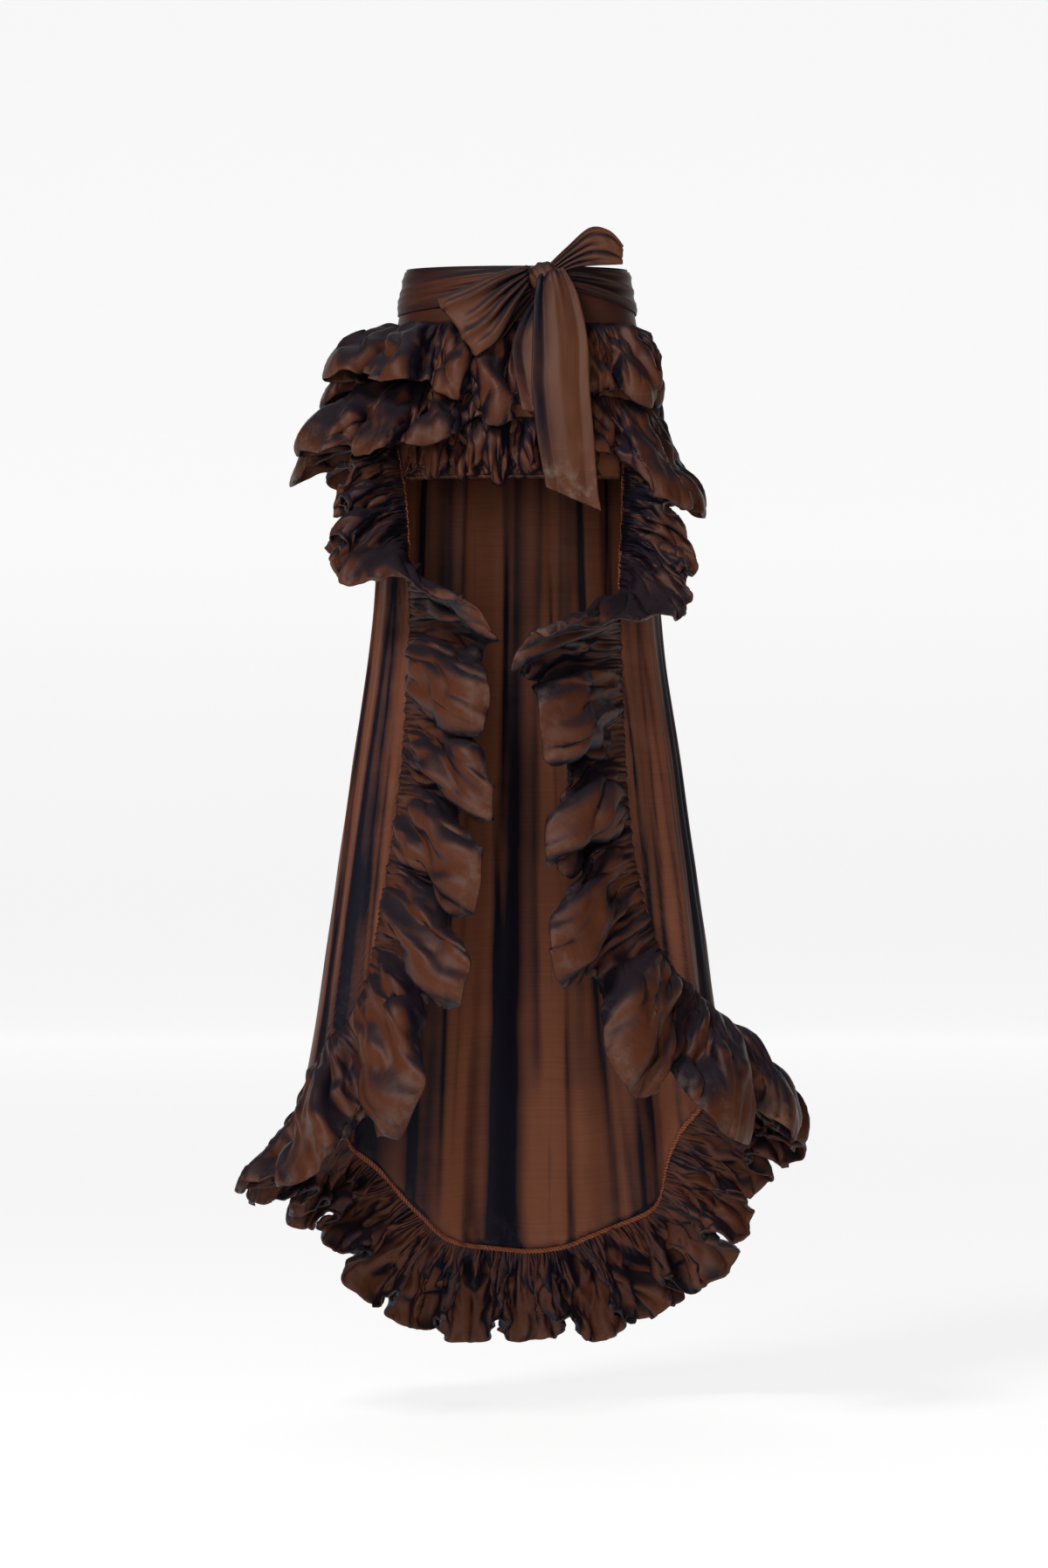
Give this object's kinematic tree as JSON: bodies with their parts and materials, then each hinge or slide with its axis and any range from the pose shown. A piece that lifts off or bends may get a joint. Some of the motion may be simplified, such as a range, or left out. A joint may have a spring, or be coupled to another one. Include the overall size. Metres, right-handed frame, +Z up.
{
  "type": "tiered ruffle skirt",
  "caption": "High-low skirt in shot taffeta, open and short in front and long behind, with gathered tiers at the hips, a ruffle along the whole free edge, and a sash tied in a bow.",
  "frame": {"origin": "The centre of the waist, level with the top edge of the waistband at the front.", "axes": "+Z is up, along the wearer; -Y is the wearer's front, where the skirt is open; +X is on the right of someone who looks at the front."},
  "size_m": [0.6223, 0.5344, 1.2439],
  "materials": {
    "shot_taffeta": "crisp plain-weave taffeta, brown warp shot with blue-black weft, with a soft sheen"
  },
  "bodies": {
    "root": {"waistband": "shot_taffeta", "sash_wrap": "shot_taffeta", "knot": "shot_taffeta", "bow_loop_left": "shot_taffeta", "bow_loop_upper": "shot_taffeta", "bow_tail_long": "shot_taffeta", "bow_tail_short": "shot_taffeta", "front_panel": "shot_taffeta", "tier_upper": "shot_taffeta", "tier_middle": "shot_taffeta", "tier_lower": "shot_taffeta", "skirt_side_left": "shot_taffeta", "skirt_side_right": "shot_taffeta", "skirt_back": "shot_taffeta", "ruffle_left": "shot_taffeta", "ruffle_hem": "shot_taffeta", "ruffle_right": "shot_taffeta"}
  },
  "joints": []
}
